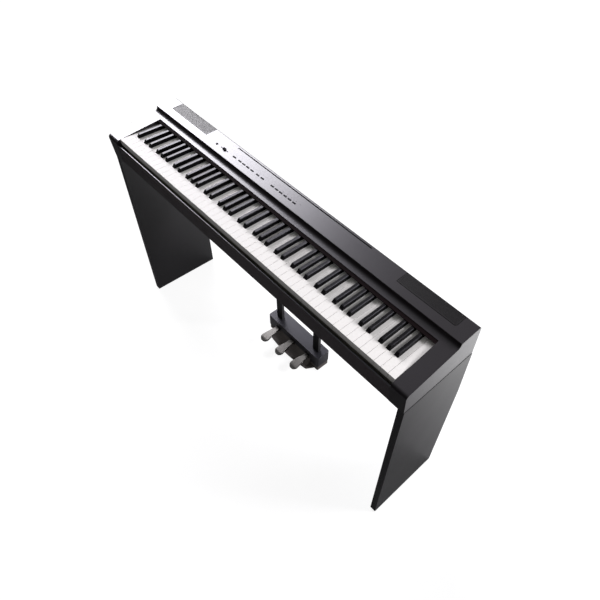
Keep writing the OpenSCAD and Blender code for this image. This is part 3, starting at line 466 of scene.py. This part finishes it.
# tree: a grid of points, every other row moved by half a pitch, a cell on each,
# thickened and joined to the rim
def perforationTree(weld):
    tree = bpy.data.node_groups.new("perforatedSheet", "GeometryNodeTree")
    for name, kind in perforationInputs.items():
        gridSocket(tree, name, kind)
    gridSocket(tree, "Sheet and Rim", "NodeSocketGeometry", "OUTPUT")
    given = addNode(tree, "NodeGroupInput").outputs

    def combine(operation, first, second):
        return addNode(tree, "ShaderNodeMath", {"operation": operation}, {0: first, 1: second}).outputs[0]

    wide = combine("MULTIPLY", combine("SUBTRACT", given["Columns"], 1), given["Pitch"])
    deep = combine("MULTIPLY", combine("SUBTRACT", given["Rows"], 1), given["Row Pitch"])
    points = addNode(tree, "GeometryNodeMeshGrid", None, {
        "Size X": wide, "Size Y": deep, "Vertices X": given["Columns"],
        "Vertices Y": given["Rows"]}).outputs["Mesh"]
    spot = addNode(tree, "ShaderNodeSeparateXYZ", None,
        {0: addNode(tree, "GeometryNodeInputPosition").outputs[0]}).outputs
    row = combine("ROUND", combine("DIVIDE", combine("ADD", spot["Y"], combine("MULTIPLY", deep, 0.5)),
        given["Row Pitch"]), 0)
    side = combine("SUBTRACT", combine("MODULO", row, 2), 0.5)
    shift = addNode(tree, "ShaderNodeCombineXYZ", None,
        {"X": combine("MULTIPLY", combine("MULTIPLY", side, given["Pitch"]), 0.5)})
    staggered = addNode(tree, "GeometryNodeSetPosition", None,
        {"Geometry": points, "Offset": shift.outputs[0]})
    cell = addNode(tree, "GeometryNodeObjectInfo", None, {"Object": given["Cell"]}).outputs["Geometry"]
    cells = addNode(tree, "GeometryNodeInstanceOnPoints", None,
        {"Points": staggered.outputs[0], "Instance": cell})
    plain = addNode(tree, "GeometryNodeRealizeInstances", None, {"Geometry": cells.outputs[0]})
    sheet = addNode(tree, "GeometryNodeMergeByDistance", None,
        {"Geometry": plain.outputs[0], "Distance": weld})
    under = addNode(tree, "GeometryNodeFlipFaces", None, {"Mesh": sheet.outputs[0]})
    along = addNode(tree, "ShaderNodeCombineXYZ", None, {"Z": given["Sheet"]})
    over = addNode(tree, "GeometryNodeExtrudeMesh", {"mode": "FACES"},
        {"Mesh": sheet.outputs[0], "Offset": along.outputs[0], "Individual": False})
    both = addNode(tree, "GeometryNodeJoinGeometry")
    tree.links.new(over.outputs["Mesh"], both.inputs[0])
    tree.links.new(under.outputs[0], both.inputs[0])
    closed = addNode(tree, "GeometryNodeMergeByDistance", None,
        {"Geometry": both.outputs[0], "Distance": weld})
    placed = addNode(tree, "GeometryNodeTransform", None,
        {"Geometry": closed.outputs[0], "Translation": given["Middle"]})
    whole = addNode(tree, "GeometryNodeJoinGeometry")
    tree.links.new(given["Rim"], whole.inputs[0])
    tree.links.new(placed.outputs[0], whole.inputs[0])
    ready = addNode(tree, "GeometryNodeRealizeInstances", None, {"Geometry": whole.outputs[0]})
    painted = addNode(tree, "GeometryNodeSetMaterial", None,
        {"Geometry": ready.outputs[0], "Material": given["Finish"]})
    addNode(tree, "NodeGroupOutput", None, {0: painted.outputs[0]})
    return tree


# a flat ring between an outline with a round outer front corner and a window, filled and given its depth
def addRing(work, facts, long, deep, outerSide, inset, window, top, bottom):
    radius = facts["cornerRadius"] * mm - inset
    far, back = long - inset, deep - inset
    turns = [i * math.pi / 2 / facts["cornerSteps"] for i in range(facts["cornerSteps"] + 1)]
    corner = [(far - radius + radius * math.sin(turn), inset + radius - radius * math.cos(turn))
        for turn in turns]
    outline = [(inset, inset)] + corner + [(far, back), (inset, back)]
    opening = [(window, window), (long - window, window), (long - window, deep - window),
        (window, deep - window)]
    edges = []
    for loop in (outline, opening):
        dots = [work.verts.new((outerSide * (x - long / 2), y, top)) for x, y in loop]
        edges += [work.edges.new((dots[i - 1], dot)) for i, dot in enumerate(dots)]
    filled = [item for item in bmesh.ops.triangle_fill(work, use_beauty=True, edges=edges)["geom"]
        if isinstance(item, bmesh.types.BMFace)]
    drawn = bmesh.ops.extrude_face_region(work, geom=filled)["geom"]
    bmesh.ops.translate(work, vec=(0, 0, bottom - top),
        verts=[item for item in drawn if isinstance(item, bmesh.types.BMVert)])


def rimMesh(facts, long, deep, outerSide):
    groove, floorLevel, under = facts["groove"] * mm, -facts["grooveDepth"] * mm, -facts["rimDepth"] * mm
    window = facts["rimWidth"] * mm
    work = bmesh.new()
    addRing(work, facts, long, deep, outerSide, groove, window, 0.0, floorLevel)
    addRing(work, facts, long, deep, outerSide, 0.0, window, floorLevel - facts["seam"] * mm, under)
    bmesh.ops.recalc_face_normals(work, faces=work.faces[:])
    mesh = bpy.data.meshes.new("grilleRim")
    work.to_mesh(mesh)
    work.free()
    return mesh


def perforatedGrille(nodeName, facts, cell, tree):
    low, high = boxOf(nodeName)
    long = high.x - low.x
    slope = math.radians(facts["slope"])
    deep = (high.y - low.y - facts["rimDepth"] * mm * math.sin(slope)) / math.cos(slope)
    draft = bpy.data.objects.new(nodeName + "Draft", rimMesh(facts, long, deep, 1 if low.x > 0 else -1))
    bpy.context.scene.collection.objects.link(draft)
    build = draft.modifiers.new("perforate", "NODES")
    build.node_group = tree
    values = {
        "Cell": cell, "Columns": int((long / mm - 2 * facts["rimWidth"]) / facts["pitch"]) + 1,
        "Rows": int((deep / mm - 2 * facts["rimWidth"]) / facts["rowPitch"]) + 1,
        "Pitch": facts["pitch"] * mm, "Row Pitch": facts["rowPitch"] * mm,
        "Middle": (0, deep / 2, -(facts["sheet"] + facts["sunk"]) * mm), "Sheet": facts["sheet"] * mm,
        "Finish": finishes[slotOfNode[nodeName]]}
    for item in tree.interface.items_tree:
        if item.name in values:
            build[item.identifier] = values[item.name]
    bpy.context.view_layer.update()
    ready = bpy.data.meshes.new_from_object(draft.evaluated_get(bpy.context.evaluated_depsgraph_get()))
    bpy.data.objects.remove(draft)
    lowerFront = Vector(((low.x + high.x) / 2, low.y + facts["rimDepth"] * mm * math.sin(slope),
        high.z - deep * math.sin(slope)))
    ready.transform(Matrix.Translation(lowerFront) @ Matrix.Rotation(slope, 4, "X"))
    piece = bpy.data.objects.new(nodeName + "Perforated", ready)
    bpy.context.scene.collection.objects.link(piece)
    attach(piece, bodyOfNode[nodeName])
    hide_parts(nodeName)


sheetCell = holeCell(grilleFacts)
sheetTree = perforationTree(grilleFacts["weld"] * mm)
for nodeName in ("grille_left", "grille_right"):
    perforatedGrille(nodeName, grilleFacts, sheetCell, sheetTree)
bpy.data.objects.remove(sheetCell)
print("stage: grilles perforated")


# ---- Floor, lamps and surroundings
studio = {
    "floorSize": 30.0, "floorSides": 48,
    "floorRough": (0.75, 0.85), "floorCloud": 2.0,
    "floorShade": "#8e8e8e",
    "lampTint": "#fcfaff",
    "fillLevel": 0.2,
    "glossLevel": 0.17,
    "nearLift": 0.86,     # floor level seen by the camera up to nearOut metres, and from farOut metres on
    "farLift": 1.0,
    "nearOut": 0.8, "farOut": 3.0,
    "paintedShadeEnd": 0.08,     # painted light and shade seen only in reflections: the floor shines not at all up to here, a painted shade of the piano, then ever brighter to the next value
    "paintedGlowFullAt": 0.85,
    # how strongly the floor shines in reflections behind the piano: painted light
    "paintedMirrorGlow": 1.05,
    "leftBox": {"place": (-3.2, 1.4, 2.75), "aim": (0.0, 0.35, 1.0), "size": (3.2, 2.0), "power": 37,
        "beam": 60},
    "rightBox": {"place": (2.0, 1.5, 1.9), "aim": (0.66, 0.32, 0.76), "size": (1.0, 1.0), "power": 7,
        "beam": 55},
}


def addSoftbox(name, place, aim, size, power, beam):
    lamp = bpy.data.lights.new(name, "AREA")
    lamp.shape = "RECTANGLE"
    lamp.size, lamp.size_y = size
    lamp.energy = power
    lamp.spread = math.radians(beam)
    lamp.color = linear(studio["lampTint"])[:3]
    holder = bpy.data.objects.new(name, lamp)
    holder.location = place
    holder.rotation_euler = (Vector(aim) - Vector(place)).to_track_quat("-Z", "Y").to_euler()
    bpy.context.scene.collection.objects.link(holder)


def paintFloor(facts):
    paint, tree, place = startMaterial("paleStudioFloor")
    cloud = addNode(tree, "ShaderNodeTexNoise", None,
        {"Vector": place, "Scale": facts["floorCloud"]}).outputs[0]
    rays = addNode(tree, "ShaderNodeLightPath").outputs
    outward = addNode(tree, "ShaderNodeVectorMath", {"operation": "LENGTH"}, {0: place}).outputs["Value"]
    seenLevel = addNode(tree, "ShaderNodeMapRange", {"interpolation_type": "SMOOTHSTEP"}, {
        "Value": outward, "From Min": facts["nearOut"], "From Max": facts["farOut"],
        "To Min": facts["nearLift"], "To Max": facts["farLift"]}).outputs["Result"]
    seenLift = addNode(tree, "ShaderNodeMath", {"operation": "MULTIPLY"}, {
        0: rays["Is Camera Ray"], 1: seenLevel}).outputs[0]
    behind = addNode(tree, "ShaderNodeSeparateXYZ", None, {0: place}).outputs["Y"]
    # painted light and shade for reflections only: the floor shines for glossy rays, not at all next to the
    # piano as its painted shade, and ever brighter behind it
    paintedReflectionGlow = addNode(tree, "ShaderNodeMapRange", {"interpolation_type": "SMOOTHSTEP"}, {
        "Value": behind, "From Min": facts["paintedShadeEnd"], "From Max": facts["paintedGlowFullAt"],
        "To Min": 0.0, "To Max": facts["paintedMirrorGlow"]}).outputs["Result"]
    # the camera's even lift plus the painted light that reflections see
    liftAndPaintedGlow = addNode(tree, "ShaderNodeMath", {"operation": "MULTIPLY_ADD"}, {
        0: rays["Is Glossy Ray"], 1: paintedReflectionGlow, 2: seenLift}).outputs[0]
    closeMaterial(tree, addNode(tree, "ShaderNodeBsdfPrincipled", None, {
        "Base Color": linear(facts["floorShade"]), "Roughness": spread(tree, cloud, *facts["floorRough"]),
        "Emission Color": (1, 1, 1, 1), "Emission Strength": liftAndPaintedGlow}))
    return paint


def layFloor(facts):
    mesh = bpy.data.meshes.new("studioFloor")
    sides, reach = facts["floorSides"], facts["floorSize"]
    turns = [i * math.tau / sides for i in range(sides)]
    ring = [(reach * math.cos(turn), reach * math.sin(turn), 0) for turn in turns]
    mesh.from_pydata(ring, [], [list(range(sides))])
    mesh.materials.append(paintFloor(facts))
    floor = bpy.data.objects.new("studioFloor", mesh)
    bpy.context.scene.collection.objects.link(floor)


def lightSurroundings(facts):
    surroundings = bpy.data.worlds.new("whiteStudio")
    surroundings.use_nodes = True
    bpy.context.scene.world = surroundings
    tree = surroundings.node_tree
    tree.nodes.clear()
    rays = addNode(tree, "ShaderNodeLightPath").outputs
    gloss = spread(tree, rays["Is Glossy Ray"], facts["fillLevel"], facts["glossLevel"])
    level = addNode(tree, "ShaderNodeMath", {"operation": "MAXIMUM"},
        {0: rays["Is Camera Ray"], 1: gloss}).outputs[0]
    sky = addNode(tree, "ShaderNodeBackground", None, {"Color": (1, 1, 1, 1), "Strength": level})
    addNode(tree, "ShaderNodeOutputWorld", None, {"Surface": sky.outputs[0]})


for lampName in ("leftBox", "rightBox"):
    addSoftbox(lampName, **studio[lampName])
layFloor(studio)
lightSurroundings(studio)
bpy.context.scene.view_settings.view_transform = "Standard"
print("stage: studio ready")
